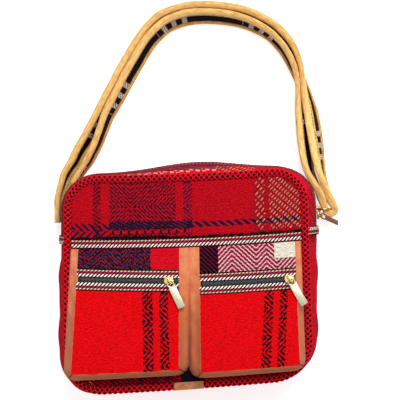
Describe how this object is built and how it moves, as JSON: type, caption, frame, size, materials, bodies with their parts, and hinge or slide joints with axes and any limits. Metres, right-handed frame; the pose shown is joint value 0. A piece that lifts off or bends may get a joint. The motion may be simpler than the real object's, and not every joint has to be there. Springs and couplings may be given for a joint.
{
  "type": "kilim crossbody bag",
  "caption": "Boxy kilim crossbody bag lying on its back, with zipped bellows pockets on its front, a zipped top gusset and a doubled padded strap through a ring.",
  "frame": {"origin": "middle of the back panel's resting face", "axes": "+Z out of the bag's front, +Y towards its top and strap, +X to its right as seen"},
  "size_m": [0.3398, 0.4675, 0.115],
  "materials": {
    "kilim_red": "coarse hand-woven wool twill",
    "kilim_panel": "hand-woven wool plaid in herringbone twill",
    "edging_wool": "overcast wool braid in red and black",
    "twill_tape": "woven twill tape in cream, maroon and black",
    "zip_tape": "plain woven zip tape",
    "zip_coil": "nylon coil",
    "tan_suede": "brushed tan suede",
    "mustard_suede": "soft mustard suede over padding",
    "woven_band": "black woven band with small white figures",
    "brass_metal": "polished plated zinc",
    "pale_brass": "pale satin plating",
    "copper_metal": "worn copper-coloured plating"
  },
  "bodies": {
    "bag": {"back_panel": "kilim_red", "front_panel": "kilim_panel", "rear_edging": "edging_wool", "front_edging": "edging_wool", "lower_gusset": "kilim_red", "top_gusset_rear": "kilim_red", "top_gusset_front": "kilim_red", "main_twill_rear": "twill_tape", "main_twill_front": "twill_tape", "main_zip_tape": "zip_tape", "main_zip_coil": "zip_coil", "side_tape_left": "twill_tape", "side_tape_right": "twill_tape", "cross_tape": "twill_tape", "edging_patch": "tan_suede", "strap_binding_front": "mustard_suede", "strap_binding_back": "mustard_suede", "strap_band": "woven_band", "strap_ring": "brass_metal", "ring_tab": "mustard_suede", "left_pocket_strip": "kilim_panel", "left_pocket_twill_upper": "twill_tape", "left_pocket_twill_lower": "twill_tape", "left_pocket_face": "kilim_red", "left_pocket_zip_coil": "zip_coil", "left_pocket_zip_tape": "zip_tape", "left_pocket_wall": "tan_suede", "right_pocket_strip": "kilim_panel", "right_pocket_twill_upper": "twill_tape", "right_pocket_twill_lower": "twill_tape", "right_pocket_face": "kilim_red", "right_pocket_zip_coil": "zip_coil", "right_pocket_zip_tape": "zip_tape", "right_pocket_wall": "tan_suede"},
    "left_zip_slider": {"left_zip_slider": "brass_metal"},
    "left_zip_pull": {"left_zip_pull": "pale_brass"},
    "right_zip_slider": {"right_zip_slider": "brass_metal"},
    "right_zip_pull": {"right_zip_pull": "pale_brass"},
    "main_zip_slider": {"main_zip_slider": "brass_metal"},
    "main_zip_pull": {"main_zip_pull": "copper_metal"}
  },
  "joints": [
    {"name": "left_zip_run", "type": "slide", "parent": "bag", "child": "left_zip_slider", "axis": [-0.9999, 0.0163, -0.0038], "range_m": [0, 0.096]},
    {"name": "left_pull_swing", "type": "hinge", "parent": "left_zip_slider", "child": "left_zip_pull", "pos_m": [-0.02103, 0.00063, 0.10701], "axis": [-0.8993, -0.4342, 0.052], "range_deg": [0, 150]},
    {"name": "right_zip_run", "type": "slide", "parent": "bag", "child": "right_zip_slider", "axis": [-0.9983, -0.0591, 0], "range_m": [0, 0.094]},
    {"name": "right_pull_swing", "type": "hinge", "parent": "right_zip_slider", "child": "right_zip_pull", "pos_m": [0.11909, 0.00286, 0.10747], "axis": [-0.8639, -0.5007, 0.0549], "range_deg": [0, 150]},
    {"name": "main_zip_run", "type": "slide", "parent": "bag", "child": "main_zip_slider", "axis": [-0.0343, 0.9994, 0], "range_m": [-0.005, 0.012]},
    {"name": "main_pull_swing", "type": "hinge", "parent": "main_zip_slider", "child": "main_zip_pull", "pos_m": [0.15794, 0.07669, 0.05249], "axis": [-0.0469, -0.8007, 0.5972], "range_deg": [-38, 90]}
  ]
}
